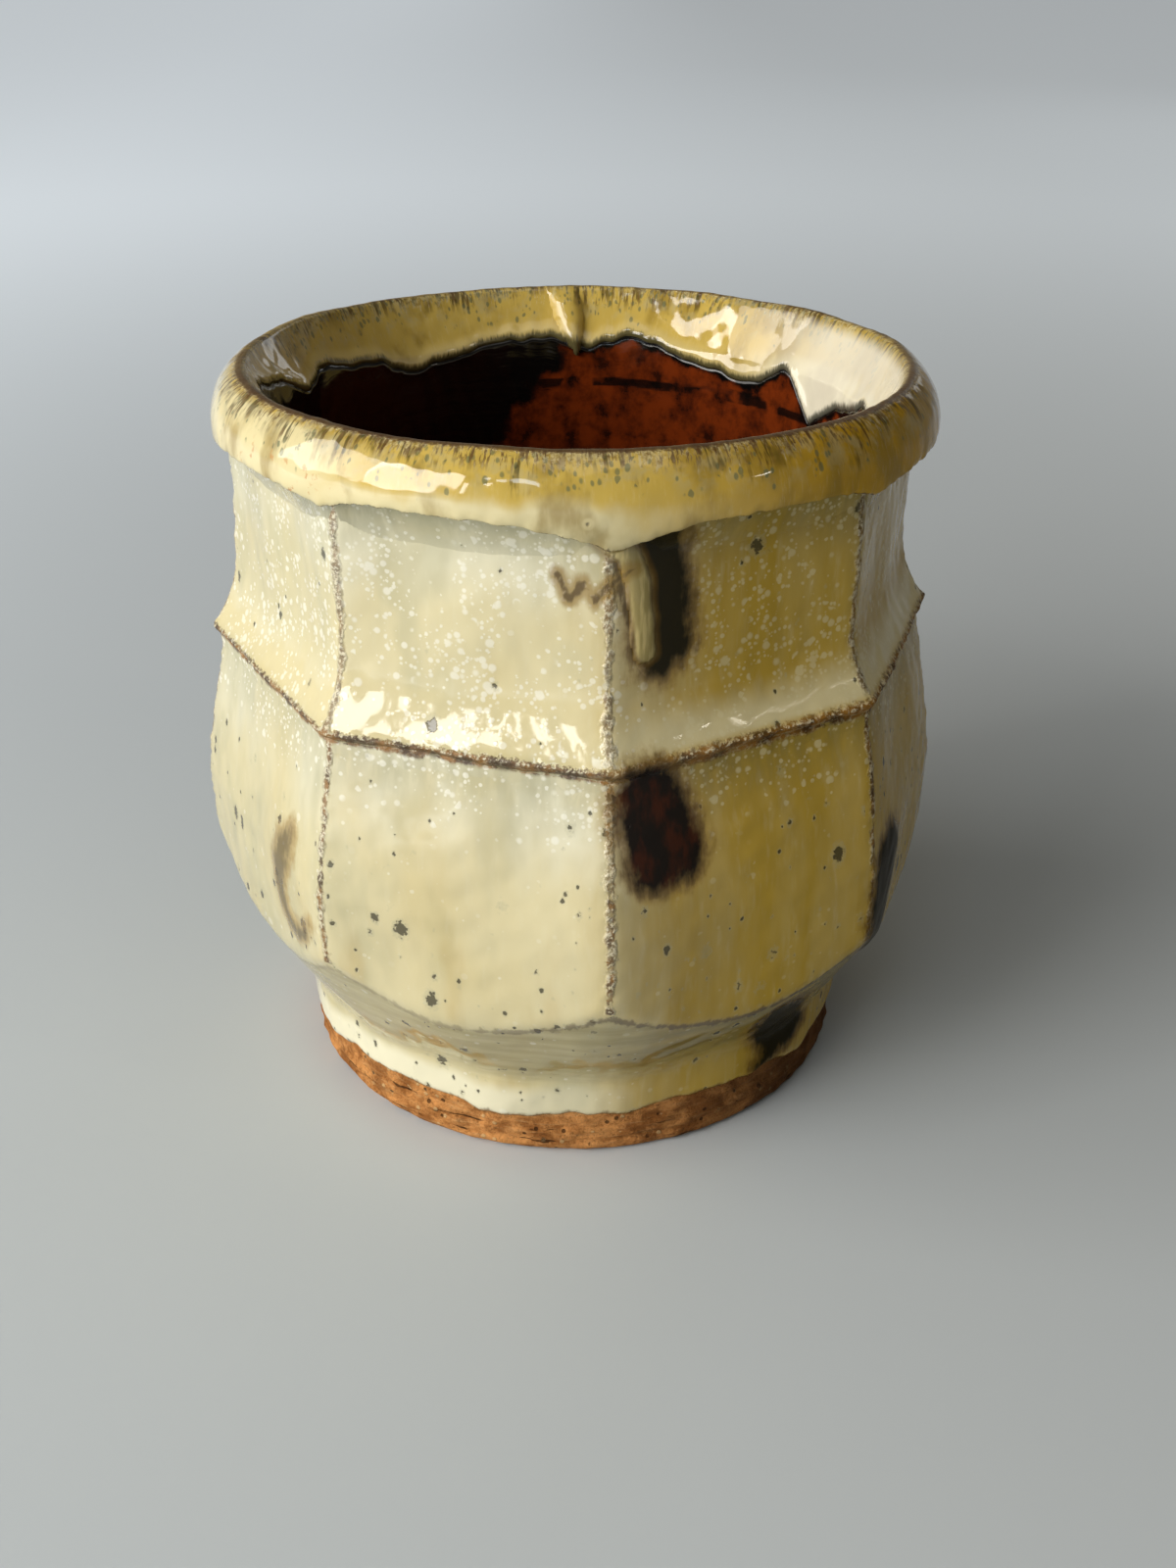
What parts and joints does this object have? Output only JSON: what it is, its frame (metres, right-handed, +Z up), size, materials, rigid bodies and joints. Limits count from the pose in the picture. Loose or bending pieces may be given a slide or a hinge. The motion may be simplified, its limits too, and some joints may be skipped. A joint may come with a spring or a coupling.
{
  "type": "tea cup",
  "caption": "Handleless faceted stoneware tea cup with a rolled collar lip, a waisted body, a turned neck and a bare foot.",
  "frame": {"origin": "centre of the foot ring, on the table", "axes": "+Z up along the cup's axis; -Y is the front of the cup as pictured, +X its right side"},
  "size_m": [0.0854, 0.0854, 0.082],
  "materials": {
    "stoneware": "rough, unglazed, orange brown with pale grog",
    "cream_glaze": "satin gloss, cream with iron specks",
    "amber_glaze": "gloss, amber mottled with blue green",
    "iron_glaze": "gloss, red brown to black",
    "iron_brushwork": "satin, dark brown with an ochre edge",
    "run_glaze": "gloss, pale amber"
  },
  "bodies": {
    "root": {"stoneware_body": "stoneware", "outer_glaze": "cream_glaze", "rim_glaze": "amber_glaze", "liner_glaze": "iron_glaze", "iron_daubs": "iron_brushwork", "glaze_runs": "run_glaze"}
  },
  "joints": []
}
